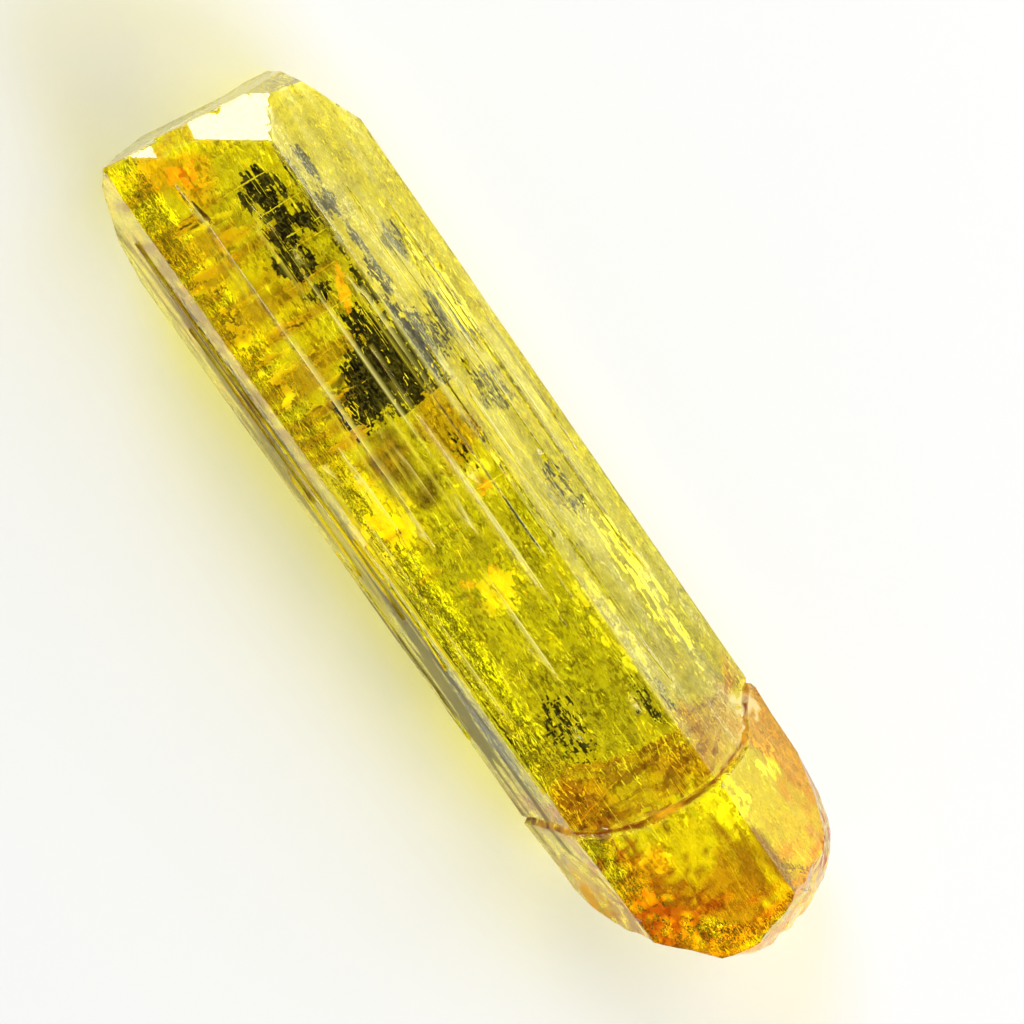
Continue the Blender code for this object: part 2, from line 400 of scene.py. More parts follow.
@dataclass(frozen=True)
class ClearBeryl:
    """Clear golden beryl with an etched skin, dark specks and fine bright threads.

    The mesh keeps the skin's tint, the colour and share of its rind, and how frosted, specked and
    etched it is. Patterns and depths are in millimetres.
    """

    ior: float = 1.577
    absorbed: Colour = (0.998, 0.993, 0.0)
    density: float = 420.0
    lamp_tint: Colour = (0.97, 0.92, 0.30)
    web: float = 0.18
    web_depth: float = 0.018
    speck: Colour = (0.31, 0.27, 0.03)
    roughness: float = 0.04
    frost_roughness: float = 0.16
    rind_roughness: float = 0.5
    rind_gloss: float = 0.15
    thread_level: float = 0.52
    thread_fineness: float = 16.0
    threads: float = 0.07
    frosted_threads: float = 0.36

    def material(self) -> bpy.types.Material:
        """The finished material."""
        material, g = new_material("clear_beryl")
        frost = g.attribute("frost")
        web = g.noise(self.web, (2.0, 1.0, 1.0), 9.0, 1.0, 0.65)
        etched = g.attribute("etched")
        normal = g.bump(web * etched, self.web_depth)
        specks = g.mix(web.ramp(0.50, 0.40) * g.attribute("speckle"), (1.0, 1.0, 1.0), self.speck)
        clear = g.principled(
            {
                "Base Color": g.mix(1.0, g.painted("tint"), specks, "MULTIPLY"),
                "Roughness": self.roughness + self.frost_roughness * frost,
                "IOR": self.ior,
                "Transmission Weight": 1.0,
                "Normal": normal,
            }
        )
        rind = g.principled(
            {
                "Base Color": g.painted("rind_colour"),
                "Roughness": self.rind_roughness,
                "Specular IOR Level": self.rind_gloss,
                "Normal": normal,
            }
        )
        threads = (1.0 - abs(web - self.thread_level) * self.thread_fineness).most(0.0) * etched
        milky = threads * (self.threads + self.frosted_threads * frost)
        body = g.shader_mix(milky.most(g.attribute("rind")), clear, rind)
        lamp = g.add("ShaderNodeBsdfTransparent", None, {"Color": self.lamp_tint}).outputs[0]
        path = g.add("ShaderNodeLightPath").outputs["Is Shadow Ray"]
        volume = g.add(
            "ShaderNodeVolumeAbsorption", None, {"Color": self.absorbed, "Density": self.density}
        ).outputs[0]
        g.finish(g.shader_mix(path, body, lamp), volume)
        return material


@dataclass(frozen=True)
class FleckFinish:
    """A small solid inclusion, of one colour that varies from fleck to fleck."""

    name: str
    dark: Colour
    light: Colour
    roughness: float = 0.35
    patch: float = 0.5
    gloss: float = 0.5

    def material(self) -> bpy.types.Material:
        """The finished material."""
        material, g = new_material(self.name)
        tone = g.noise(self.patch, shift=4.0, detail=1.0).ramp(0.35, 0.65)
        shade = g.principled(
            {
                "Base Color": g.mix(tone, self.dark, self.light),
                "Roughness": 0.1 * tone + self.roughness,
                "Specular IOR Level": self.gloss,
            }
        )
        g.finish(shade)
        return material


# Painted shade: near-black films stand in for the dark windows, where the clear crystal shows
# shade.
PAINTED_SHADE_FILM = FleckFinish("painted_shade_film", (0.004, 0.0035, 0.001), (0.02, 0.017, 0.003), 0.4, gloss=0.1)
GOLDEN_VEIL = FleckFinish("golden_veil", (1.0, 0.78, 0.02), (1.0, 0.90, 0.06), 0.3)
LEMON_FILM = FleckFinish("lemon_film", (1.0, 0.88, 0.10), (1.0, 0.96, 0.30), 0.25)
AMBER_FILM = FleckFinish("amber_film", (0.92, 0.42, 0.015), (1.0, 0.66, 0.04), 0.3)
RUST_BROWN = FleckFinish("rust_brown", (0.03, 0.008, 0.002), (0.08, 0.02, 0.004), 0.4)
GOLDEN_GRAIN = FleckFinish("golden_grain", (0.92, 0.66, 0.02), (1.0, 0.86, 0.05), 0.3)
BRIGHT_FLECK = FleckFinish("bright_fleck", (1.0, 0.88, 0.06), (1.0, 0.97, 0.24), 0.2)
GROWTH_TUBE = FleckFinish("growth_tube", (1.0, 0.88, 0.08), (1.0, 0.97, 0.28), 0.2)


@dataclass(frozen=True)
class PaleFloor:
    """Pale studio card, very faintly mottled."""

    colour: Colour = (0.82, 0.82, 0.81)
    mottle: float = 0.985
    mottle_size: float = 30.0

    def material(self) -> bpy.types.Material:
        """The finished material."""
        material, g = new_material("pale_floor")
        tone = g.noise(self.mottle_size, detail=0.0)
        colour = g.mix(tone, self.colour, tuple(self.mottle * c for c in self.colour))
        g.finish(
            g.add("ShaderNodeBsdfDiffuse", None, {"Color": colour, "Roughness": 0.0}).outputs[0]
        )
        return material


# The stage


def crystal_axes() -> tuple[Vector, Vector, Vector]:
    """The camera's right, up and backward directions, in the crystal's frame."""
    tilt, lean, roll = math.radians(12.65), math.radians(9.5), math.radians(125.0)
    back = Vector(
        (math.sin(lean), -math.sin(tilt) * math.cos(lean), math.cos(tilt) * math.cos(lean))
    )
    along = Vector((1, 0, 0))
    along = (along - back * along.dot(back)).normalized()
    across = back.cross(along)
    right = math.cos(roll) * along - math.sin(roll) * across
    up = math.sin(roll) * along + math.cos(roll) * across
    return right, up, back


@dataclass
class Studio:
    """Camera, soft lamps, floor and backdrop."""

    lens: float = 150.0
    distance: float = 0.175
    pixel: float = 0.041 * MM
    middle: Point = (0.0008746, -0.0000062, 0.0044)
    off_centre: tuple[float, float] = (40.8, 4.3)
    lamp_distance: float = 1.0
    horizon: Colour = (0.50, 0.51, 0.53)
    zenith: Colour = (0.04, 0.04, 0.045)

    def target(self) -> Vector:
        """The point that the camera looks at."""
        right, up, _ = crystal_axes()
        return (
            Vector(self.middle)
            + right * self.off_centre[0] * self.pixel
            + up * self.off_centre[1] * self.pixel
        )

    def camera(self) -> None:
        """Adds the camera at the photograph's angle."""
        right, up, back = crystal_axes()
        data = bpy.data.cameras.new("camera")
        data.lens = self.lens
        data.sensor_width = 36.0
        data.clip_start = 0.001
        data.clip_end = 10.0
        camera = bpy.data.objects.new("camera", data)
        bpy.context.scene.collection.objects.link(camera)
        turn = Matrix((right, up, back)).transposed().to_4x4()
        camera.matrix_world = Matrix.Translation(self.target() + back * self.distance) @ turn
        bpy.context.scene.camera = camera

    def lamp(self, name: str, way: Point, size: float, radiance: float) -> None:
        """Adds a square white area lamp that faces the crystal.

        Args:
            name: The lamp's name.
            way: The direction from the crystal to the lamp.
            size: Its side, in metres.
            radiance: How bright its face is.
        """
        data = bpy.data.lights.new(name, "AREA")
        data.shape = "SQUARE"
        data.size = size
        data.energy = radiance * math.pi * size * size
        lamp = bpy.data.objects.new(name, data)
        bpy.context.scene.collection.objects.link(lamp)
        away = Vector(way).normalized()
        lamp.location = Vector(self.middle) + away * self.lamp_distance
        lamp.rotation_mode = "QUATERNION"
        lamp.rotation_quaternion = away.to_track_quat("Z", "Y")

    def floor(self) -> None:
        """Adds the floor that the crystal lies on."""
        mesh = bpy.data.meshes.new("floor")
        half, z = 1.5, -0.02 * MM
        corners = [(-half, -half, z), (half, -half, z), (half, half, z), (-half, half, z)]
        mesh.from_pydata(corners, [], [(0, 1, 2, 3)])
        mesh.materials.append(PaleFloor().material())
        floor = bpy.data.objects.new("floor", mesh)
        bpy.context.scene.collection.objects.link(floor)

    def light(self) -> None:
        """Adds the lamps and a room that is pale low down, and limits how light bounces."""
        self.lamp("key_softbox", (0.74, -0.41, 0.52), size=0.34, radiance=14.5)
        self.lamp("fill_softbox", (-0.75, -0.25, 0.60), size=0.60, radiance=8.0)
        self.lamp("front_softbox", (-0.10, -0.85, 0.60), size=0.80, radiance=2.9)
        world = bpy.data.worlds.new("room")
        bpy.context.scene.world = world
        world.use_nodes = True
        g = Graph(world.node_tree)
        way = g.add("ShaderNodeTexCoord").outputs["Generated"]
        height = g.value(g.add("ShaderNodeSeparateXYZ", None, {0: way}).outputs[2])
        colour = g.mix(height.ramp(0.15, 0.80), self.horizon, self.zenith)
        sky = g.add("ShaderNodeBackground", None, {"Color": colour, "Strength": 1.0}).outputs[0]
        g.add("ShaderNodeOutputWorld", None, {"Surface": sky})
        bpy.context.scene.view_settings.view_transform = "Standard"
        bpy.context.scene.cycles.transparent_max_bounces = 8
        bpy.context.scene.cycles.max_bounces = 4
        bpy.context.scene.cycles.diffuse_bounces = 1
        bpy.context.scene.cycles.use_light_tree = False


# The crystal


def add_piece(name: str, mesh: bpy.types.Mesh) -> bpy.types.Object:
    """Puts a finished mesh in the scene, as a piece that rides on the crystal's body.

    Args:
        name: The piece's name.
        mesh: Its mesh, in place.

    Returns:
        The piece's object.
    """
    piece = bpy.data.objects.new(name, mesh)
    bpy.context.scene.collection.objects.link(piece)
    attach(piece, BODY)
    log.info("%s: %d faces", name, len(mesh.polygons))
    return piece


class Solid:
    """The CAD solid, asked what lies inside it."""

    margin = 0.03 * MM

    def __init__(self, node: bpy.types.Object) -> None:
        """Reads the CAD node's mesh."""
        self.mesh = bmesh.new()
        self.mesh.from_mesh(node.data)
        bmesh.ops.remove_doubles(self.mesh, verts=self.mesh.verts, dist=WELD)
        self.tree = BVHTree.FromBMesh(self.mesh)
        self.faces = list(self.mesh.faces)
        self.shares = np.cumsum([f.calc_area() for f in self.faces])

    def depth(self, at: Vector) -> float:
        """How far under the skin a point lies, in metres. It's negative outside."""
        skin, outward, _, gap = self.tree.find_nearest(at)
        return gap if (skin - at).dot(outward) > 0 else -gap

    def holds(self, at: Vector, room: Vector) -> bool:
        """True if a fleck with these half sizes fits inside the solid at a point."""
        side = max(room.y, room.z) + self.margin
        ends = (at, at + Vector((room.x, 0, 0)), at - Vector((room.x, 0, 0)))
        return all(self.depth(end) > side for end in ends)

    def skin_point(self, rng: random.Random) -> tuple[Vector, Vector]:
        """A random point of the skin, with its outward direction."""
        pick = int(np.searchsorted(self.shares, rng.random() * self.shares[-1]))
        face = self.faces[min(pick, len(self.faces) - 1)]
        a, b, c = (v.co for v in face.verts)
        u, v = rng.random(), rng.random()
        if u + v > 1:
            u, v = 1 - u, 1 - v
        return a + (b - a) * u + (c - a) * v, face.normal


def film_mesh(work: bmesh.types.BMesh, name: str, thickness: float) -> bpy.types.Mesh:
    """Makes a mesh of a sheet of cells, and gives it a thickness in millimetres.

    Args:
        work: The sheet. It's freed.
        name: The new mesh's name.
        thickness: How thick it becomes.

    Returns:
        The mesh, with its faces outward.
    """
    bmesh.ops.delete(work, geom=[v for v in work.verts if not v.link_faces], context="VERTS")
    bmesh.ops.solidify(work, geom=work.faces, thickness=thickness * MM)
    bmesh.ops.recalc_face_normals(work, faces=work.faces)
    mesh = bpy.data.meshes.new(name)
    work.to_mesh(mesh)
    work.free()
    return mesh


@dataclass
class HealedCrack:
    """The stained crack that shuts off the stump: a thin curved film right through the crystal.

    Its line holds points where it meets the skin, each as y and x. Lengths are in millimetres.
    """

    line: Sequence[tuple[float, float]] = (
        (-6.0, -11.0),
        (-5.3, -11.4),
        (-4.5, -12.7),
        (-3.0, -12.95),
        (-1.7, -13.05),
        (0.6, -12.85),
        (2.2, -12.3),
        (3.1, -11.7),
        (6.0, -11.0),
    )
    lean_below: float = 1.3
    bulge: float = 1.9
    bulge_power: float = 0.8
    bulge_level: float = 0.6
    bulge_slope: float = -0.07
    half_height: float = 4.4
    width: tuple[float, float] = (-5.9, 5.9)
    height: tuple[float, float] = (0.05, 8.75)
    steps: int = 56
    clearance: float = 0.10
    thickness: float = 0.02
    ripple: float = 0.25
    ripple_size: float = 1.1
    cloud_size: float = 1.3
    deep: Colour = (0.42, 0.13, 0.008)
    pale: Colour = (0.92, 0.52, 0.03)
    clearest: float = 0.18
    stain: float = 0.42

    def at(self, y: Any, z: Any) -> Any:
        """The crack's place along X at the skin, for points or arrays of points in millimetres."""
        places, values = zip(*self.line)
        below = np.maximum(0.0, 1.0 - np.asarray(z) / self.half_height)
        return np.interp(y, places, values) + self.lean_below * below

    def material(self) -> bpy.types.Material:
        """Amber to rust-brown iron stain, thin in patches."""
        material, g = new_material("stained_film")
        cloud = g.noise(self.cloud_size, shift=2.0, detail=3.0, roughness=0.65)
        colour = g.mix(cloud.ramp(0.36, 0.62), self.deep, self.pale)
        film = g.principled(
            {
                "Base Color": colour,
                "Roughness": 0.35,
                "Alpha": self.clearest + self.stain * cloud.ramp(0.62, 0.36),
                "Normal": g.bump(cloud, self.ripple),
            }
        )
        g.finish(film)
        return material

    def build(self, solid: Solid) -> None:
        """Makes the film, which stops just short of the skin."""
        work = bmesh.new()
        rows: list[list[bmesh.types.BMVert | None]] = []
        for y in np.linspace(*self.width, self.steps):
            row: list[bmesh.types.BMVert | None] = []
            for z in np.linspace(*self.height, self.steps):
                inner = math.sin(math.pi * z / (2 * self.half_height)) ** self.bulge_power
                inner *= self.bulge * (self.bulge_level + self.bulge_slope * y)
                ripple = self.ripple * noise.noise(Vector((y, z, 3.0)) / self.ripple_size)
                x = float(self.at(y, z)) + inner + ripple
                at = Vector((x, y, z)) * MM
                row.append(work.verts.new(at) if solid.depth(at) > self.clearance * MM else None)
            rows.append(row)
        for first, second in zip(rows, rows[1:]):
            for k in range(self.steps - 1):
                corners = (first[k], second[k], second[k + 1], first[k + 1])
                if None not in corners:
                    work.faces.new(corners)
        mesh = film_mesh(work, "healed_crack", self.thickness)
        mesh.shade_smooth()
        mesh.materials.append(self.material())
        add_piece("healed_crack", mesh)


def rise(values: np.ndarray, start: float, end: float) -> np.ndarray:
    """0 up to start, 1 from end on, and a straight line between them."""
    return np.clip((values - start) / (end - start), 0, 1)


def blend(first: np.ndarray, second: np.ndarray, share: np.ndarray) -> np.ndarray:
    """Mixes colours point by point: the first where share is 0, and the second where it's 1."""
    return first + (second - first) * share[:, None]


class Weave(Enum):
    """What makes the edge of a zone ragged, with the length of its lumps along each axis, in mm."""

    CLOUD = (1.3, 1.3, 1.3)
    CRUMB = (0.45, 0.45, 0.45)
    BARS = (0.45, 5.0, 5.0)
    STREAK = (5.0, 0.45, 0.6)


@dataclass(frozen=True)
class Zone:
    """A soft-edged region of the crystal's skin, an ellipsoid in millimetres."""

    middle: Point
    reach: Point
    colour: Colour
    strength: float = 0.8
    ragged: float = 0.6
    weave: Weave = Weave.CLOUD

    def share(self, places: np.ndarray, lumps: Mapping[Weave, np.ndarray]) -> np.ndarray:
        """How much of the zone's colour each point takes.

        Args:
            places: The points, in millimetres.
            lumps: Each weave's noise at the points, from about -1 to 1.

        Returns:
            Shares from 0 to the zone's strength.
        """
        off = (places - np.array(self.middle)) / np.array(self.reach)
        inner = 1.0 - (off * off).sum(axis=1) + 2.0 * self.ragged * lumps[self.weave]
        covered = rise(inner, 0.0, 0.6)
        return self.strength * covered * covered * (3 - 2 * covered)


# The clear skin's colours, with one painted sheen. Each row lies over the ones before it.
TINTS = (
    Zone((-4.0, 0.0, 5.0), (10.0, 6.5, 9.0), (0.95, 1.0, 0.30), 0.6),
    Zone((0.0, 0.0, 4.0), (22.0, 6.5, 5.2), (0.56, 0.51, 0.06), 0.38, 1.5, Weave.CRUMB),
    Zone((0.0, 0.0, 4.0), (22.0, 6.5, 5.2), (0.60, 0.58, 0.06), 0.34, 1.5, Weave.STREAK),
    # Painted sheen: a paler tint along the -Y flank stands in for the pale sheen over that frosted
    # face.
    Zone((8.0, -4.9, 6.2), (14.0, 1.9, 2.6), (1.0, 1.0, 0.66), 0.9, 0.7, Weave.STREAK),
    Zone((4.9, 0.3, 8.2), (2.1, 1.6, 2.0), (0.26, 0.18, 0.02), 0.95, 0.6),
    Zone((5.2, -2.2, 8.2), (2.3, 1.2, 1.6), (0.80, 0.56, 0.04), 0.9, 0.5),
    Zone((7.6, 0.9, 8.2), (1.2, 1.2, 1.6), (0.40, 0.32, 0.03), 0.8, 0.9, Weave.CRUMB),
    Zone((15.0, -1.5, 8.0), (5.0, 2.6, 3.0), (0.66, 0.62, 0.14), 0.7, 0.8, Weave.BARS),
    Zone((13.0, 2.6, 7.0), (9.0, 3.4, 4.0), (1.0, 0.88, 0.04), 0.95),
    Zone((12.5, 2.2, 8.0), (7.5, 2.6, 2.5), (0.62, 0.42, 0.02), 0.85, 1.5, Weave.BARS),
    Zone((3.2, 2.4, 8.0), (2.2, 1.9, 2.5), (1.0, 0.95, 0.04), 0.95),
    Zone((19.6, 0.4, 7.5), (1.8, 1.9, 3.5), (1.0, 0.66, 0.02), 0.85),
    Zone((-12.2, -2.6, 6.0), (2.6, 3.6, 5.0), (0.82, 0.58, 0.03), 0.85, 0.4),
    Zone((-11.6, 2.6, 6.0), (2.2, 2.4, 5.0), (0.90, 0.62, 0.03), 0.85, 0.4),
    Zone((-18.0, 0.0, 5.0), (5.0, 8.0, 8.0), (1.0, 0.90, 0.04), 0.95, 0.2),
    Zone((-14.4, -2.0, 7.5), (2.6, 3.4, 3.4), (1.0, 1.0, 0.20), 0.95, 0.4, Weave.CRUMB),
    Zone((-16.6, -2.6, 8.4), (2.6, 1.1, 2.2), (0.42, 0.22, 0.008), 0.95, 0.7, Weave.STREAK),
    Zone((-17.4, -0.7, 8.2), (2.0, 1.9, 2.2), (0.66, 0.38, 0.012), 0.9, 0.5),
    Zone((-16.0, 2.0, 7.4), (3.4, 2.1, 3.6), (0.92, 0.56, 0.008), 0.95, 0.7),
    Zone((-16.4, 2.2, 7.6), (3.4, 2.0, 3.4), (0.42, 0.15, 0.004), 0.9, 1.5, Weave.CRUMB),
    Zone((-15.0, -5.3, 5.4), (4.6, 1.4, 2.2), (0.86, 0.46, 0.008), 0.95, 0.6),
    Zone((-20.2, 0.0, 5.5), (1.9, 6.0, 6.0), (1.0, 0.55, 0.012), 0.95, 1.1, Weave.BARS),
)

# Stains, pale patches and painted shade that hide the clear skin, each over the ones before it.
COATS = (
    Zone((3.0, 4.6, 6.2), (17.0, 1.5, 3.0), (0.88, 0.68, 0.012), 0.55, 1.0, Weave.STREAK),
    # Painted shade: the next two dark streaked coats on the +Y flank stand in for a dark reflection
    # there.
    Zone((-4.5, 4.7, 6.2), (6.5, 1.1, 2.0), (0.16, 0.11, 0.008), 0.70, 1.3, Weave.STREAK),
    Zone((11.0, 4.7, 6.2), (6.5, 1.1, 2.0), (0.20, 0.13, 0.008), 0.55, 1.5, Weave.STREAK),
    Zone((21.2, -0.6, 6.2), (0.6, 3.0, 2.6), (0.93, 0.84, 0.46), 0.45, 0.9, Weave.CRUMB),
    Zone((-15.2, 4.9, 5.3), (2.7, 1.1, 2.0), (1.0, 0.66, 0.22), 0.75, 0.9, Weave.CRUMB),
    Zone((-18.4, 3.6, 5.2), (2.2, 1.3, 2.4), (1.0, 0.66, 0.20), 0.65, 1.0, Weave.CRUMB),
    Zone((-15.6, 4.9, 4.9), (1.2, 0.8, 1.0), (0.95, 0.42, 0.04), 0.75, 0.9, Weave.CRUMB),
    Zone((-20.4, -2.6, 5.6), (0.8, 1.8, 1.8), (0.95, 0.70, 0.22), 0.45, 1.2, Weave.CRUMB),
    Zone((-11.7, -5.2, 5.3), (0.8, 0.5, 0.8), (0.93, 0.74, 0.36), 0.5, 1.2, Weave.CRUMB),
    Zone((-11.6, 4.3, 5.4), (1.5, 0.7, 1.2), (0.95, 0.85, 0.40), 0.6, 1.0, Weave.CRUMB),
    Zone((-18.8, -4.6, 4.6), (1.5, 0.9, 2.2), (0.34, 0.04, 0.002), 0.7, 1.2, Weave.CRUMB),
)


@dataclass(frozen=True)
class Skin:
    """How the crystal's skin looks at each point: its tint, frost, worn edges with a painted
    highlight, specks and rind.

    Lengths are in millimetres, and shares run from 0 to 1.
    """

    tint: Colour = (1.0, 0.99, 0.60)
    golden_frost: Colour = (1.0, 0.84, 0.04)
    pale_frost: Colour = (0.95, 0.90, 0.40)
    amber: Colour = (0.85, 0.40, 0.02)
    rust: Colour = (0.20, 0.022, 0.002)
    mirror: Point = (0.491, -0.341, 0.802)
    mirror_spread: float = 0.985
    mirror_polish: float = 0.9
    stump_start: float = 0.6
    crack_line: float = 0.12
    crack_rind: float = 0.9
    frost_rind: float = 0.12
    # Sharp edges take this much pale rind: partly worn, partly a painted highlight along them.
    edge_wear_and_highlight_rind: float = 0.40
    thickest_rind: float = 0.95

    def edge_wear_and_highlight(self, mesh: bpy.types.Mesh, streak: np.ndarray) -> np.ndarray:
        """How worn the sharp edges are, with a painted highlight along them. It's 0 away from them.
        """
        edges = np.zeros(len(mesh.vertices))
        for edge in mesh.edges:
            if edge.use_edge_sharp:
                edges[list(edge.vertices)] = 1.0
        return edges * np.clip(0.55 + 1.6 * streak, 0, 1)

    def tints(self, places: np.ndarray, lumps: Mapping[Weave, np.ndarray]) -> np.ndarray:
        """The clear skin's tint at each point, squared, as the shader gives one skin its root."""
        tint = np.tile(self.tint, (len(places), 1))
        for zone in TINTS:
            tint = blend(tint, np.array(zone.colour), zone.share(places, lumps))
        return tint**2

    def rind(
        self,
        places: np.ndarray,
        past: np.ndarray,
        frost: np.ndarray,
        edge_wear_and_highlight: np.ndarray,
        lumps: Mapping[Weave, np.ndarray],
    ) -> dict[str, np.ndarray]:
        """The coats that hide the clear crystal: frost, worn edges with a painted highlight,
        stains, painted shade and the crack's rust.

        Args:
            places: The points, in millimetres.
            past: How far past the crack each point is.
            frost: How frosted each point is.
            edge_wear_and_highlight: How worn each point is, with the painted highlight on sharp
                edges.
            lumps: Each weave's noise at the points.

        Returns:
            The rind's share and its colour, by the name of their attribute.
        """
        cloud, crumb = lumps[Weave.CLOUD], lumps[Weave.CRUMB]
        line = np.clip(1.6 - np.abs(past) / self.crack_line, 0, 1) * np.clip(0.9 + crumb, 0, 1)
        stained = np.clip(1.6 * cloud + 0.1, 0, 1)
        red = blend(np.array(self.rust), np.array(self.amber), stained)
        coats = [(np.array(zone.colour), zone.share(places, lumps)) for zone in COATS]
        coats.append((red, self.crack_rind * line))
        colour = blend(np.array(self.golden_frost), np.array(self.pale_frost), frost)
        share = self.frost_rind * frost + self.edge_wear_and_highlight_rind * edge_wear_and_highlight
        for coat, cover in coats:
            colour = blend(colour, coat, np.clip(2.0 * cover, 0, 1))
            share = np.maximum(share, cover)
        return {"rind": np.clip(share, 0, self.thickest_rind), "rind_colour": colour}

    def marks(self, mesh: bpy.types.Mesh, crack: HealedCrack) -> dict[str, np.ndarray]:
        """How the skin looks at each point.

        Args:
            mesh: The finished body.
            crack: The crack, whose line on the skin is rusty.

        Returns:
            Numbers from 0 to 1, and colours, by the name of their attribute.
        """
        places, outward = np.empty(3 * len(mesh.vertices)), np.empty(3 * len(mesh.vertices))
        mesh.vertices.foreach_get("co", places)
        mesh.vertices.foreach_get("normal", outward)
        places, outward = places.reshape(-1, 3) / MM, outward.reshape(-1, 3)
        x, y, z = places.T
        lumps = {
            weave: np.array([noise.fractal(Vector(p / weave.value), 1.0, 2.0, 2) for p in places])
            for weave in Weave
        }
        past = crack.at(y, z) - x
        stump = rise(past, 0.0, self.stump_start)
        flank = rise(-outward[:, 1], 0.3, 0.8) * rise(z, 2.5, 4.5)
        golden = rise(y, 0.6, 1.6) * rise(x, 1.0, 3.0)
        frost = np.clip(0.50 + 1.3 * lumps[Weave.STREAK], 0, 1) * (0.08 + 0.92 * flank)
        frost = frost * (1 - 0.6 * stump)
        # Sharp edges: partly worn, partly a painted highlight along them.
        edge_wear_and_highlight = self.edge_wear_and_highlight(mesh, lumps[Weave.STREAK]) * (1 - stump)
        etched = 1 - self.mirror_polish * (outward @ np.array(self.mirror) > self.mirror_spread)
        speckle = np.clip(0.75 + 1.4 * lumps[Weave.CLOUD], 0.1, 1) * etched
        speckle = speckle * (1 - 0.6 * golden) * (1 - 0.3 * stump) * (1 - 0.5 * flank)
        return {
            "frost": frost,
            "speckle": speckle,
            "etched": etched,
            "tint": self.tints(places, lumps),
            **self.rind(places, past, frost, edge_wear_and_highlight, lumps),
        }

    def mark(self, mesh: bpy.types.Mesh, crack: HealedCrack) -> None:
        """Keeps the marks on the mesh, a colour as three numbers."""
        for name, values in self.marks(mesh, crack).items():
            columns = {name: values}
            if values.ndim > 1:
                columns = {name + part: values[:, k] for k, part in enumerate(CHANNELS)}
            for column, numbers in columns.items():
                kept = mesh.attributes.new(column, "FLOAT", "POINT")
                kept.data.foreach_set("value", np.clip(numbers, 0, 1).astype(np.float32))


@dataclass
class CrystalBody:
    """The crystal's own body, cut finely and etched. Angles are in degrees."""

    cell: float = 0.27 * MM
    sharp: float = 12.0
    flat: float = 0.4
    relief: float = 0.030
    swell: float = 1.5
    skin: Skin = Skin()

    def recipe(self) -> Recipe:
        """The tree that etches the skin, which only ever sinks, and stays flat on the floor."""
        g = Recipe("etched_skin")
        relief = g.number("Relief") * MM
        outward = g.add("GeometryNodeInputNormal").outputs[0]
        free = g.place()[2].ramp(0.02, 0.25)
        etch = g.noise(0.55, (2.6, 1.0, 1.0), 3.0, 2.0, 0.55)
        swell = g.noise(1.6, (3.0, 1.0, 1.0), 8.0, 1.0)
        height = (etch - 1.0) * relief + (swell - 1.0) * relief * self.swell
        push = g.scaled(outward, height * free)
        moved = g.add("GeometryNodeSetPosition", None, {"Geometry": g.mesh, "Offset": push})
        g.end(moved.outputs[0])
        return g

    def fine_mesh(self, solid: Solid) -> bpy.types.Mesh:
        """The CAD solid's shape, cut finely enough for the relief."""
        work = solid.mesh.copy()
        bmesh.ops.dissolve_limit(
            work, angle_limit=math.radians(self.flat), verts=work.verts, edges=work.edges
        )
        places = np.array([v.co for v in work.verts])
        low, high = places.min(axis=0), places.max(axis=0)
        for axis in range(3):
            across = Vector([float(k == axis) for k in range(3)])
            for step in range(1, int((high[axis] - low[axis]) / self.cell) + 1):
                bmesh.ops.bisect_plane(
                    work,
                    geom=[*work.verts, *work.edges, *work.faces],
                    dist=WELD,
                    plane_co=across * (low[axis] + self.cell * (step - 0.5)),
                    plane_no=across,
                )
        bmesh.ops.triangulate(work, faces=work.faces)
        for face in work.faces:
            face.smooth = True
        limit = math.radians(self.sharp)
        for edge in work.edges:
            edge.smooth = edge.is_manifold and edge.calc_face_angle(0.0) < limit
        mesh = bpy.data.meshes.new("crystal_blank")
        work.to_mesh(mesh)
        work.free()
        return mesh

    def build(self, solid: Solid, crack: HealedCrack) -> None:
        """Makes the body from the CAD solid, which it replaces."""
        mesh = self.recipe().run(
            "crystal_body", self.fine_mesh(solid), ClearBeryl().material(), relief=self.relief
        )
        self.skin.mark(mesh, crack)
        body = add_piece("crystal_body", mesh)
        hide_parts(NODE)


@dataclass
class Patch:
    """One ragged sheet: its middle, its two directions with their half lengths, and how torn it is.

    Sizes are in millimetres. A streak is how long the tears are along each direction, and torn runs
    from about -0.5 for a whole sheet to 0.5 for a few scraps.
    """

    middle: Point
    along: Point
    across: Point
    streak: tuple[float, float] = (0.9, 0.35)
    torn: float = 0.0
    ripple: float = 0.12
    bend: float = 0.0


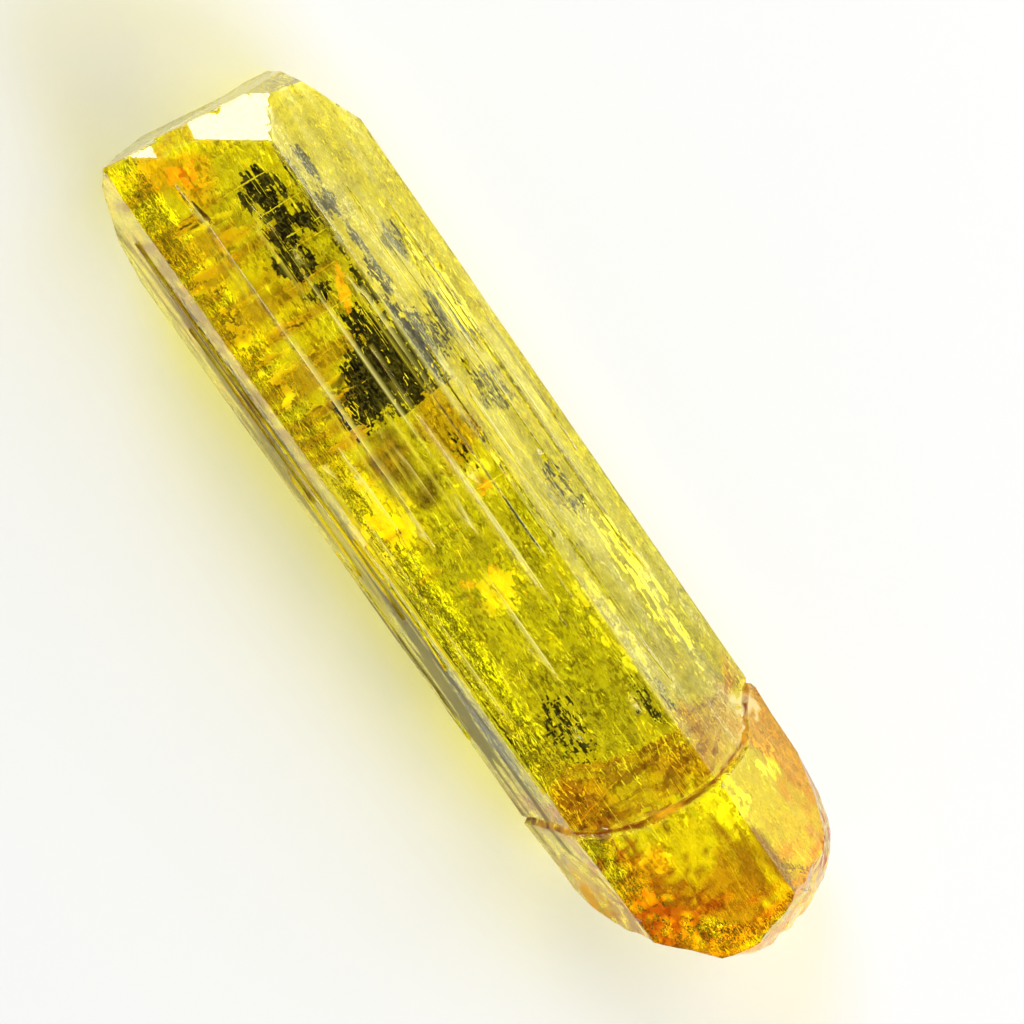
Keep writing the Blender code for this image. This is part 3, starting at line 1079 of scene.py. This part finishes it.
@dataclass
class Films:
    """Thin ragged films inside the crystal, of one finish."""

    name: str
    finish: FleckFinish
    patches: Sequence[Patch]
    cell: float = 0.085
    thickness: float = 0.015
    clearance: float = 0.08
    ripple_size: float = 0.7
    middle_whole: float = 0.30
    edge_torn: float = 0.75
    seed: float = 1.0
    seed_step: float = 5.7

    def sheet(self, work: bmesh.types.BMesh, solid: Solid, patch: Patch, shift: float) -> None:
        """Adds one patch to the mesh: a grid of small cells, without those that the tears take."""
        along, across = Vector(patch.along), Vector(patch.across)
        outward = along.cross(across).normalized()
        columns = max(2, round(2 * along.length / self.cell))
        rows = max(2, round(2 * across.length / self.cell))
        points: dict[tuple[int, int], bmesh.types.BMVert] = {}

        def point(i: int, j: int) -> bmesh.types.BMVert | None:
            """The grid's point, made when it's first asked for, or None outside the crystal."""
            if (i, j) not in points:
                u, v = 2 * i / columns - 1, 2 * j / rows - 1
                at = Vector(patch.middle) + along * u + across * v
                lift = noise.noise(at / self.ripple_size + Vector((shift, 0, 0))) * patch.ripple
                at += outward * (lift + patch.bend * (1 - u * u - v * v))
                if solid.depth(at * MM) < self.clearance * MM:
                    return None
                points[i, j] = work.verts.new(at * MM)
            return points[i, j]

        for i in range(columns):
            for j in range(rows):
                u, v = (2 * i + 1) / columns - 1, (2 * j + 1) / rows - 1
                spot = Vector(
                    (u * along.length / patch.streak[0], v * across.length / patch.streak[1], shift)
                )
                torn = noise.fractal(spot, 0.8, 2.0, 4)
                edge = (u * u + v * v) ** 1.5
                if torn < patch.torn + self.edge_torn * edge - self.middle_whole:
                    continue
                corners = (point(i, j), point(i + 1, j), point(i + 1, j + 1), point(i, j + 1))
                if None not in corners:
                    work.faces.new(corners)

    def build(self, solid: Solid) -> None:
        """Makes every patch, as one piece."""
        work = bmesh.new()
        for k, patch in enumerate(self.patches):
            self.sheet(work, solid, patch, self.seed + self.seed_step * k)
        mesh = film_mesh(work, self.name, self.thickness)
        mesh.materials.append(self.finish.material())
        add_piece(self.name, mesh)


class Shape(Enum):
    """What one fleck looks like."""

    LOZENGE = "lozenge"
    NEEDLE = "needle"


@dataclass
class SkinCloud:
    """Flecks just under the whole skin, in streaks along the crystal.

    Depths and streaks are in millimetres. A sparse spot has a middle, a reach and the share kept.
    """

    count: int
    shallow: float
    deep: float
    streak: Point = (2.2, 0.5, 0.5)
    bare: float = 0.0
    ragged: float = 0.15
    tries: int = 5
    sparse: Sequence[tuple[Point, Point, float]] = (
        ((8.3, -1.7, 8.0), (1.9, 1.9, 3.0), 0.12),
        ((15.5, -1.9, 8.0), (2.6, 1.7, 3.0), 0.45),
    )
    shift: float = 0.0

    def kept(self, at: Vector) -> float:
        """The share of the flecks that is kept at a point in millimetres."""
        share = 1.0
        for middle, reach, left in self.sparse:
            off = Vector([(a - m) / r for a, m, r in zip(at, middle, reach)])
            if off.length_squared < 1:
                share = min(share, left)
        return share

    def points(self, rng: random.Random, solid: Solid, room: Vector) -> list[Vector]:
        """The flecks' places.

        Args:
            rng: Where the random numbers come from.
            solid: What they must stay inside.
            room: The largest fleck's half sizes, in metres.

        Returns:
            Points in metres.
        """
        found: list[Vector] = []
        for _ in range(self.count * self.tries):
            if len(found) >= self.count:
                break
            at, outward = solid.skin_point(rng)
            if rng.random() > self.kept(at / MM):
                continue
            streak = Vector([c / MM / s + self.shift for c, s in zip(at, self.streak)])
            if noise.noise(streak) < self.bare + rng.uniform(-self.ragged, self.ragged):
                continue
            at = at - outward * rng.uniform(self.shallow, self.deep) * MM
            if solid.holds(at, room):
                found.append(at)
        return found


@dataclass
class Flecks:
    """Many small inclusions of one shape and finish."""

    name: str
    shape: Shape
    finish: FleckFinish
    cloud: SkinCloud
    smallest: Point
    largest: Point
    few_large: float = 2.5
    turn: Point = (0.3, 0.3, 0.3)
    seed: int = 1

    def instance(self, g: Recipe) -> bpy.types.NodeSocket:
        """One fleck, a millimetre long each way and lying along X."""
        if self.shape is Shape.LOZENGE:
            return g.add(
                "GeometryNodeMeshUVSphere", None, {"Segments": 4, "Rings": 2, "Radius": 0.5}
            ).outputs[0]
        rod = g.add(
            "GeometryNodeMeshCylinder", None, {"Vertices": 3, "Radius": 0.5, "Depth": 1.0}
        ).outputs[0]
        return g.add(
            "GeometryNodeTransform", None, {"Geometry": rod, "Rotation": (0.0, math.pi / 2, 0.0)}
        ).outputs[0]

    def recipe(self) -> Recipe:
        """The tree that puts one fleck on every point."""
        g = Recipe("scatter_" + self.name)
        smallest = g.input("Smallest", "NodeSocketVector")
        largest = g.input("Largest", "NodeSocketVector")
        few = g.number("Few large")
        turn = g.input("Turn", "NodeSocketVector")
        seed = g.input("Seed", "NodeSocketInt")
        chance = g.add("FunctionNodeRandomValue", {"data_type": "FLOAT"}, {"Seed": seed})
        share = g.value(g.output_of(chance, "Value_001"))
        size = g.add(
            "ShaderNodeMix",
            {"data_type": "VECTOR"},
            {"Factor_Float": share**few, "A_Vector": smallest, "B_Vector": largest},
        )
        back = g.scaled(turn, -1.0)
        spin = g.add(
            "FunctionNodeRandomValue",
            {"data_type": "FLOAT_VECTOR"},
            {"Min": back, "Max": turn, "Seed": seed},
        ).outputs[0]
        placed = g.add(
            "GeometryNodeInstanceOnPoints",
            None,
            {
                "Points": g.mesh,
                "Instance": self.instance(g),
                "Rotation": spin,
                "Scale": g.output_of(size, "Result_Vector"),
            },
        ).outputs[0]
        g.end(placed)
        return g

    def build(self, solid: Solid) -> None:
        """Scatters the flecks inside the solid."""
        rng = random.Random(self.seed)
        room = Vector(self.largest) * 0.5 * MM
        room.z = max(room.y, room.z, room.x * math.sin(min(1.5, max(self.turn[1:]))))
        points = self.cloud.points(rng, solid, room)
        guide = bpy.data.meshes.new(self.name + "_guide")
        guide.from_pydata(points, [], [])
        mesh = self.recipe().run(
            self.name,
            guide,
            self.finish.material(),
            smallest=[MM * c for c in self.smallest],
            largest=[MM * c for c in self.largest],
            few_large=self.few_large,
            turn=self.turn,
            seed=self.seed,
        )
        add_piece(self.name, mesh)


def films() -> list[Films]:
    """The films and veils, and the rust needle, where the photograph shows them."""
    # Painted shade: near-black films at the dark windows and in streaks on the +Y flank, standing
    # in for shade.
    dark = [
        Patch((x, y, 7.0), (length, 0.0, 0.0), (0.0, width, 0.0), streak, torn)
        for x, y, length, width, streak, torn in (
            (16.9, -3.0, 1.1, 0.32, (0.9, 0.14), -0.16),
            (15.1, -2.6, 0.75, 0.60, (0.7, 0.14), -0.22),
            (16.9, -1.35, 1.15, 0.95, (0.9, 0.14), -0.24),
            (15.4, -1.3, 0.90, 0.90, (0.8, 0.14), -0.18),
            (13.9, -0.8, 0.90, 0.90, (0.7, 0.16), -0.22),
            (12.3, -0.95, 0.45, 0.70, (0.6, 0.16), -0.20),
            (13.3, -2.9, 1.0, 0.28, (0.9, 0.14), -0.05),
            (11.6, -2.7, 1.0, 0.50, (0.9, 0.14), -0.20),
            (10.4, -1.6, 0.9, 0.8, (0.7, 0.14), -0.02),
        )
    ]
    dark += [
        Patch((8.3, -1.7, 7.1), (1.9, 0.0, 0.0), (-0.2, 1.8, 0.0), (0.5, 0.16), -0.46),
        Patch((8.1, -0.3, 7.0), (1.6, 0.0, 0.0), (-0.3, 1.0, 0.0), (0.35, 0.14), -0.10),
        Patch((7.4, 0.7, 7.0), (1.2, 0.0, 0.0), (0.0, 0.8, 0.0), (0.4, 0.16), 0.12),
        Patch((3.4, -2.0, 7.0), (1.4, 0.0, 0.0), (0.0, 0.5, 0.0), (0.6, 0.12), 0.24),
        Patch((-8.1, 1.1, 6.8), (2.0, 0.0, 0.0), (0.1, 1.1, 0.0), (0.45, 0.14), 0.28),
        Patch((-8.9, -2.3, 7.0), (1.3, 0.0, 0.0), (0.0, 0.3, 0.0), (0.6, 0.12), 0.12),
        Patch((8.3, -3.3, 4.8), (1.9, 0.0, 0.1), (0.0, 0.7, 1.2), (1.1, 0.16), 0.0),
        Patch((12.1, -3.3, 4.7), (1.1, 0.0, 0.1), (0.0, 0.5, 0.8), (0.9, 0.16), 0.06),
        Patch((5.0, -3.2, 4.9), (1.5, 0.0, 0.1), (0.0, 0.6, 1.0), (0.9, 0.16), 0.10),
        Patch((-0.1, -3.2, 4.9), (1.4, 0.0, 0.1), (0.0, 0.5, 0.8), (0.8, 0.16), 0.16),
        Patch((-1.1, 3.5, 6.6), (3.6, 0.0, 0.0), (0.0, 0.35, -0.75), (0.9, 0.13), 0.06),
        Patch((-6.6, 3.6, 6.3), (3.8, 0.0, 0.0), (0.0, 0.35, -0.75), (0.9, 0.13), -0.12),
        Patch((10.0, 3.8, 6.3), (7.5, 0.0, 0.0), (0.0, 0.35, -0.75), (0.8, 0.11), 0.18),
    ]
    rng = random.Random(4)
    golden = [
        Patch(
            (x, rng.uniform(0.6, 2.2), rng.uniform(6.2, 7.6)),
            (rng.uniform(-0.15, 0.15), rng.uniform(0.6, 1.5), 0.0),
            (rng.uniform(0.3, 0.6), 0.0, 1.0),
            streak=(1.2, 0.8),
        )
        for x in (rng.uniform(6.0, 18.5) for _ in range(16))
    ]
    golden += [
        Patch((3.0, 2.2, 6.6), (1.8, 0.0, 0.0), (0.0, 1.3, 0.2)),
        Patch((-1.8, 0.2, 6.7), (1.2, 0.1, 0.1), (0.0, 1.2, 0.1), torn=-0.1, bend=0.5),
    ]
    lemon = [
        Patch((x, y, 7.9), (0.04, reach, 0.0), (0.03, 0.0, 0.12), torn=-0.2, ripple=0.03)
        for x, y, reach in (
            (16.15, -1.7, 1.5),
            (14.9, -1.5, 1.7),
            (14.4, -1.9, 0.9),
            (13.1, -1.4, 1.5),
            (11.6, -1.2, 1.1),
            (17.6, -1.0, 1.2),
            (10.3, 0.2, 0.9),
            (2.3, -2.2, 0.8),
        )
    ]
    # Painted light: these bright lemon sheets stand in for light let through the crystal, the first
    # three under the stump's top.
    lemon += [
        Patch((-14.3, -2.3, 7.5), (1.7, 0.0, 0.0), (0.0, 1.1, 0.0), (0.5, 0.3), 0.06, bend=0.3),
        Patch((-14.0, -4.4, 5.6), (1.0, 0.0, 0.0), (0.0, 0.4, 0.7), (0.7, 0.3), 0.08),
        Patch((-14.6, 1.2, 7.3), (0.9, 0.2, 0.0), (0.0, 0.9, 0.1), (0.5, 0.3), 0.14),
        Patch((2.6, -1.9, 7.5), (0.9, 0.0, 0.0), (0.0, 0.9, 0.1), (0.5, 0.25), 0.16),
        Patch((-5.5, -2.6, 7.3), (2.6, 0.0, 0.0), (0.0, 0.6, 0.0), (0.9, 0.2), 0.22),
        Patch((-5.0, -4.4, 5.6), (4.5, 0.0, 0.0), (0.0, 0.5, 0.8), (1.2, 0.2), 0.24),
        Patch((9.5, -4.6, 5.4), (3.5, 0.0, 0.0), (0.0, 0.3, 0.5), (1.2, 0.2), 0.22),
        Patch((12.0, 2.6, 7.4), (3.6, 0.0, 0.0), (0.0, 0.5, 0.0), (0.4, 0.3), 0.20),
        Patch((5.0, 1.9, 7.4), (1.4, 0.0, 0.0), (0.0, 0.7, 0.0), (0.4, 0.3), 0.20),
    ]
    amber = [
        Patch((12.05, -1.9, 7.3), (1.05, -0.45, 0.0), (0.06, 0.24, 0.1), torn=-0.3, ripple=0.2),
        Patch((2.3, -2.0, 7.7), (0.5, 0.2, 0.0), (-0.1, 0.35, 0.1), ripple=0.2),
        Patch((3.3, 2.5, 7.8), (0.3, 0.1, 0.0), (0.0, 0.25, 0.1)),
        Patch((-1.0, -0.2, 7.0), (0.9, -0.7, 0.1), (0.1, 0.2, 0.1), torn=-0.05),
        Patch((-0.8, 1.0, 7.0), (0.3, 0.3, 0.1), (0.1, -0.2, 0.1), torn=-0.05),
        Patch((19.2, 0.9, 7.4), (0.7, 0.3, -0.2), (-0.2, 1.2, 0.1), torn=0.20, streak=(0.6, 0.5)),
        Patch((-17.0, 2.2, 7.0), (2.2, 0.3, 0.1), (-0.2, 1.2, 0.2), torn=0.20, streak=(0.5, 0.5)),
        Patch((-11.2, 1.6, 7.7), (-0.35, 1.3, 0.0), (0.0, 0.03, 0.4), torn=-0.4, streak=(0.5, 0.5)),
    ]
    needle = [Patch((17.9, 1.05, 7.9), (0.85, 0.15, 0.0), (0.0, 0.10, 0.0), torn=-0.6, ripple=0.02)]
    return [
        Films("painted_shade_films", PAINTED_SHADE_FILM, dark, cell=0.07),
        Films("golden_veils", GOLDEN_VEIL, golden, cell=0.1),
        Films("lemon_films", LEMON_FILM, lemon, cell=0.06),
        Films("amber_films", AMBER_FILM, amber, cell=0.08),
        Films("rust_needle", RUST_BROWN, needle, cell=0.05),
    ]


def inclusions() -> list[Flecks]:
    """All the flecks, grains and tubes in the crystal."""
    return [
        Flecks(
            "golden_grains",
            Shape.LOZENGE,
            GOLDEN_GRAIN,
            SkinCloud(5000, shallow=0.2, deep=2.2, shift=5.0),
            smallest=(0.05, 0.03, 0.02),
            largest=(0.26, 0.10, 0.05),
            few_large=2.2,
            turn=(0.4, 0.4, 0.6),
            seed=16,
        ),
        Flecks(
            "bright_flecks",
            Shape.NEEDLE,
            BRIGHT_FLECK,
            SkinCloud(12000, shallow=0.05, deep=1.2, bare=-0.05, shift=7.0),
            smallest=(0.05, 0.014, 0.014),
            largest=(0.50, 0.040, 0.040),
            turn=(0.3, 0.25, 0.35),
            seed=13,
        ),
        Flecks(
            "growth_tubes",
            Shape.NEEDLE,
            GROWTH_TUBE,
            SkinCloud(1400, shallow=0.05, deep=0.8, shift=11.0),
            smallest=(0.25, 0.010, 0.010),
            largest=(2.6, 0.024, 0.024),
            turn=(0.2, 0.01, 0.02),
            seed=14,
        ),
    ]


def main() -> None:
    """Builds the scene, piece by piece."""
    logging.basicConfig(level=logging.INFO, format="%(name)s: %(message)s")
    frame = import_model()
    studio = Studio()
    studio.camera()
    studio.floor()
    studio.light()
    solid = Solid(frame["nodes"][NODE])
    crack = HealedCrack()
    CrystalBody().build(solid, crack)
    crack.build(solid)
    for made in (*films(), *inclusions()):
        made.build(solid)


if __name__ == "__main__":
    main()
